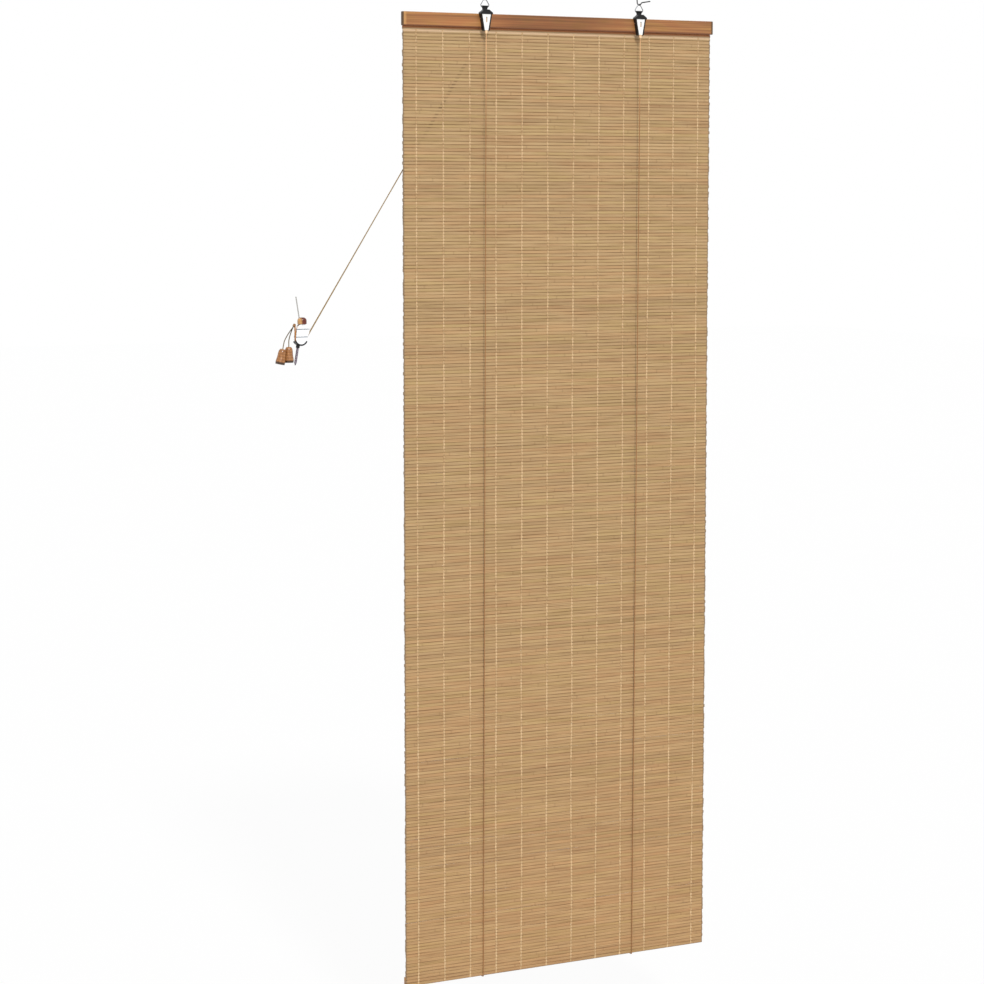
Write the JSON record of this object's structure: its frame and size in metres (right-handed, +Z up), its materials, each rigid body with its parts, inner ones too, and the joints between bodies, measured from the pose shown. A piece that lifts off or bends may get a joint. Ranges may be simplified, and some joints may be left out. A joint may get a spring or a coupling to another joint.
{
  "type": "bamboo roll up blind",
  "caption": "Let-down roll up blind of split bamboo slats on warp threads, under a stained headrail on pulley hangers, with pull cords tied off on a wall cleat",
  "frame": {"origin": "midway between the two hook shanks, on the ceiling plane that their collars meet", "axes": "+X along the blind's width to the right as seen from the room, +Y from the room towards the window, +Z up"},
  "size_m": [1.104, 0.0672, 2.2909],
  "materials": {
    "stained_wood": "stained and waxed, straight grain",
    "bamboo": "split bamboo, satin, darker nodes",
    "thread": "cream cotton thread",
    "black_steel": "black stove enamel",
    "steel": "bright wire and screws",
    "brass": "plain brass",
    "white_nylon": "moulded white nylon",
    "pale_nylon": "moulded natural nylon",
    "beige_nylon": "moulded beige nylon",
    "cord": "twisted tan cord",
    "turned_wood": "turned, lacquered",
    "red_bead": "turned, dark red lacquer"
  },
  "bodies": {
    "fixings": {"ceiling_hook_left": "black_steel", "ceiling_hook_right": "black_steel", "bail_left": "steel", "bail_right": "steel", "pull_cord_left": "cord", "pull_cord_right": "cord", "cord_tail_left": "cord", "cord_tail_right": "cord", "cleat_knot": "cord", "knob_knots": "cord", "cord_knob_left": "turned_wood", "cord_knob_right": "turned_wood", "cleat_body": "white_nylon", "cleat_bead": "red_bead", "cleat_pin": "steel", "cleat_yoke": "black_steel", "cleat_shank": "steel"},
    "blind": {"headrail_front": "stained_wood", "headrail_back": "stained_wood", "headrail_screws": "steel", "slat_mat": "bamboo", "warp_threads": "thread", "bottom_batten": "stained_wood", "hanger_frame_left": "black_steel", "hanger_frame_right": "black_steel", "pulley_housing_left": "white_nylon", "pulley_housing_right": "white_nylon", "pulley_pin_left": "steel", "pulley_pin_right": "steel", "hanger_screws": "steel", "tip_bead_left": "beige_nylon", "tip_bead_right": "beige_nylon", "rear_grommet_left": "brass", "rear_grommet_right": "brass", "cord_eye": "brass", "tie_eyes": "brass", "tie_knots": "cord", "lift_cord_left": "cord", "lift_cord_right": "cord"},
    "pulley_left": {"pulley_left": "pale_nylon"},
    "pulley_right": {"pulley_right": "pale_nylon"}
  },
  "joints": [
    {"name": "blind_swing", "type": "hinge", "parent": "fixings", "child": "blind", "pos_m": [0, 0, -0.0495], "axis": [-1, 0, 0], "range_deg": [0, 20]},
    {"name": "pulley_left_turn", "type": "hinge", "parent": "blind", "child": "pulley_left", "pos_m": [-0.2, -0.00255, -0.0763], "axis": [1, 0, 0], "continuous": true},
    {"name": "pulley_right_turn", "type": "hinge", "parent": "blind", "child": "pulley_right", "pos_m": [0.2, -0.00255, -0.0763], "axis": [1, 0, 0], "continuous": true}
  ]
}
